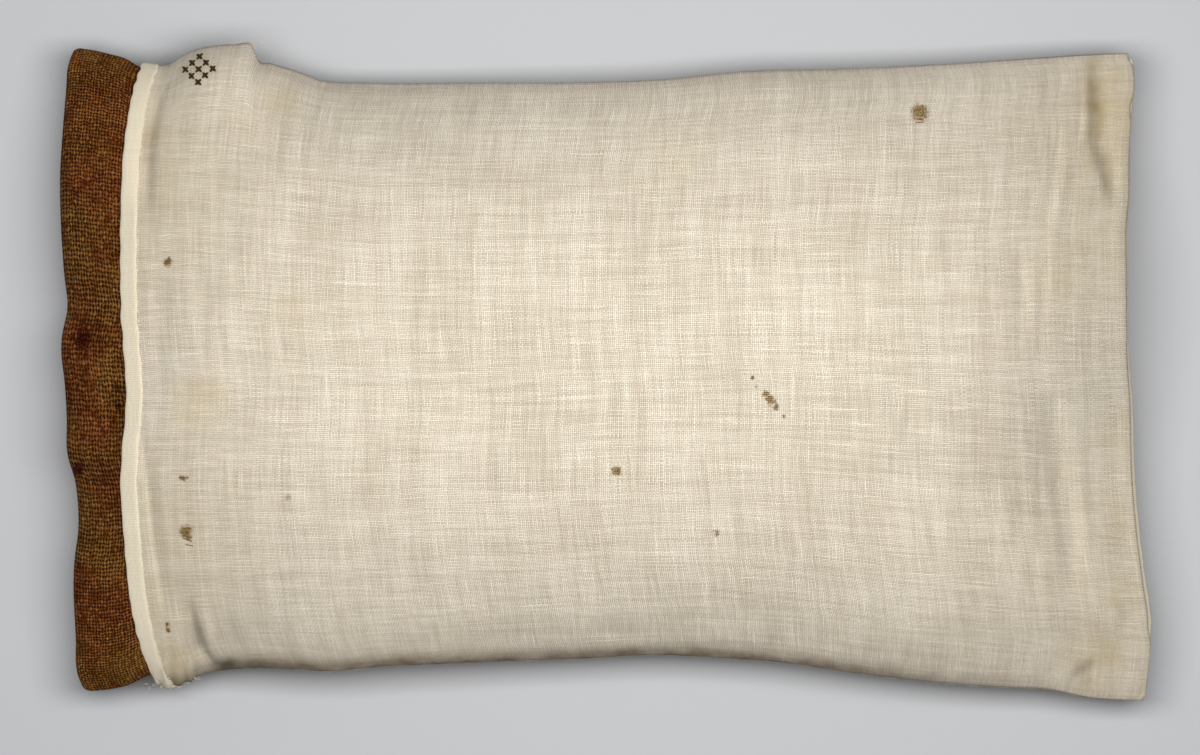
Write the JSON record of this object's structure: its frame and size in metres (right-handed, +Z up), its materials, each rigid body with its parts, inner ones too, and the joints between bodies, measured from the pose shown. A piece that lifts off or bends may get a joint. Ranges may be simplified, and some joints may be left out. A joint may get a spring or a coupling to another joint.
{
  "type": "ring bearer pillow",
  "caption": "Small stuffed pillow of coarse brown wool cloth in a slip-on cream linen case, open at one end with a turned hem",
  "frame": {"origin": "centre of the bounding box in plan, on the surface that the pillow lies on", "axes": "+Z up; +X along the length, towards the closed end of the case; +Y across"},
  "size_m": [0.3416, 0.2044, 0.0601],
  "materials": {
    "brown_wool": "matte",
    "wool_thread": "matte",
    "fleece": "matte",
    "linen": "matte",
    "hem_linen": "matte",
    "linen_thread": "matte",
    "mark_thread": "matte",
    "darn_thread": "matte"
  },
  "bodies": {
    "case": {"case_top": "linen", "case_base": "linen", "mouth_hem_top": "hem_linen", "mouth_hem_base": "hem_linen", "hem_stitches_top": "linen_thread", "hem_stitches_base": "linen_thread", "case_seam_far": "linen_thread", "case_seam_near": "linen_thread", "case_end_seam": "linen_thread", "cross_stitch_mark": "mark_thread", "worn_darn": "darn_thread", "middle_darn": "darn_thread", "mouth_darn": "darn_thread"},
    "pillow": {"ticking_top": "brown_wool", "ticking_base": "brown_wool", "pillow_filling": "fleece", "ticking_seam_far": "wool_thread", "ticking_seam_near": "wool_thread", "ticking_closing_seam": "wool_thread", "ticking_inner_seam": "wool_thread", "ticking_darn_far": "wool_thread", "ticking_darn_near": "wool_thread"}
  },
  "joints": [
    {"name": "pillow_slide", "type": "slide", "parent": "case", "child": "pillow", "axis": [-1, 0, 0], "range_m": [0, 0.33], "deforming": ["case_top", "case_base", "mouth_hem_top", "mouth_hem_base", "hem_stitches_top", "hem_stitches_base", "case_seam_far", "case_seam_near", "case_end_seam", "cross_stitch_mark", "worn_darn", "middle_darn", "mouth_darn"]}
  ]
}
